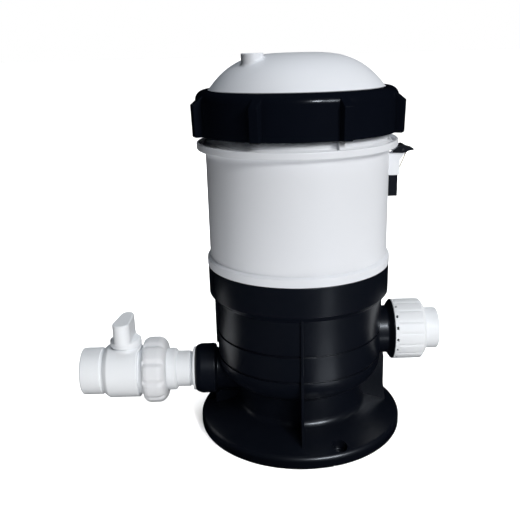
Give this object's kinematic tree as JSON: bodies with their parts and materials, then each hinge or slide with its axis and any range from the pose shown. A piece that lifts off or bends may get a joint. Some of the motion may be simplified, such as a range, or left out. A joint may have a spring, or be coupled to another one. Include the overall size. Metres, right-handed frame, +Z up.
{
  "type": "in-line chlorine tablet feeder",
  "caption": "Floor-standing pool chlorine feeder: white tank on a flared black base, domed lid under a lugged lock ring, ball valve inlet and union outlet.",
  "frame": {"origin": "centre of the foot on the floor, at the middle of the circle of fixing holes", "axes": "+Z up the tank's axis; the inlet pipe leaves along -X and the outlet pipe along +X; the pictured front faces -Y"},
  "size_m": [0.478, 0.2704, 0.4842],
  "materials": {
    "black_plastic": "glossy moulded black plastic",
    "white_plastic": "satin moulded white plastic",
    "pvc_white": "satin white PVC",
    "basket_plastic": "pale moulded plastic",
    "seat_plastic": "smooth white seat plastic",
    "rubber": "black rubber",
    "steel": "stainless steel"
  },
  "bodies": {
    "feeder": {"base_foot": "black_plastic", "base_bowl": "black_plastic", "base_barrel": "black_plastic", "inlet_port": "black_plastic", "outlet_port": "black_plastic", "tank_shell": "white_plastic", "tank_seal": "rubber", "tablet_basket": "basket_plastic", "basket_floor": "basket_plastic", "basket_bail": "basket_plastic", "flow_diffuser": "white_plastic", "inlet_riser": "white_plastic", "outlet_screen": "white_plastic", "inlet_bushing": "pvc_white", "inlet_nipple": "pvc_white", "valve_face_seal": "rubber", "valve_body": "pvc_white", "valve_end_socket": "pvc_white", "valve_seats": "seat_plastic", "outlet_tailpiece": "pvc_white", "outlet_face_seal": "rubber", "latch_block": "black_plastic", "latch_bracket": "white_plastic", "latch_pin": "steel", "latch_spring": "steel", "latch_screws": "steel"},
    "lid": {"lid_dome": "white_plastic", "lid_seal": "rubber"},
    "ring": {"lock_ring": "black_plastic"},
    "bleed": {"bleed_screw": "black_plastic", "bleed_seal": "rubber"},
    "valve_rotor": {"valve_ball": "pvc_white", "valve_stem": "pvc_white", "stem_o_rings": "rubber", "valve_handle": "pvc_white"},
    "valve_nut": {"valve_union_nut": "pvc_white"},
    "outlet_nut": {"outlet_union_nut": "pvc_white"},
    "lever": {"latch_lever": "black_plastic"}
  },
  "joints": [
    {"name": "lid_lift", "type": "slide", "parent": "feeder", "child": "lid", "axis": [0, 0, 1], "range_m": [0, 0.2]},
    {"name": "ring_turn", "type": "hinge", "parent": "lid", "child": "ring", "pos_m": [0, 0, 0.42], "axis": [0, 0, 1], "continuous": true},
    {"name": "bleed_turn", "type": "hinge", "parent": "lid", "child": "bleed", "pos_m": [-0.052, -0.038, 0.48], "axis": [0, 0, 1], "range_deg": [0, 360]},
    {"name": "valve_turn", "type": "hinge", "parent": "feeder", "child": "valve_rotor", "pos_m": [-0.2335, 0, 0.0735], "axis": [0, 0, 1], "range_deg": [-85, 5]},
    {"name": "valve_nut_turn", "type": "hinge", "parent": "feeder", "child": "valve_nut", "pos_m": [-0.193, 0, 0.0735], "axis": [1, 0, 0], "continuous": true},
    {"name": "outlet_nut_turn", "type": "hinge", "parent": "feeder", "child": "outlet_nut", "pos_m": [0.147, 0, 0.1243], "axis": [1, 0, 0], "continuous": true},
    {"name": "latch_press", "type": "hinge", "parent": "feeder", "child": "lever", "pos_m": [0.13, 0, 0.3656], "axis": [0, 1, 0], "range_deg": [0, 12], "stiffness_Nm_per_rad": 0.05, "springref_deg": -8.59, "deforming": ["latch_spring"]}
  ]
}
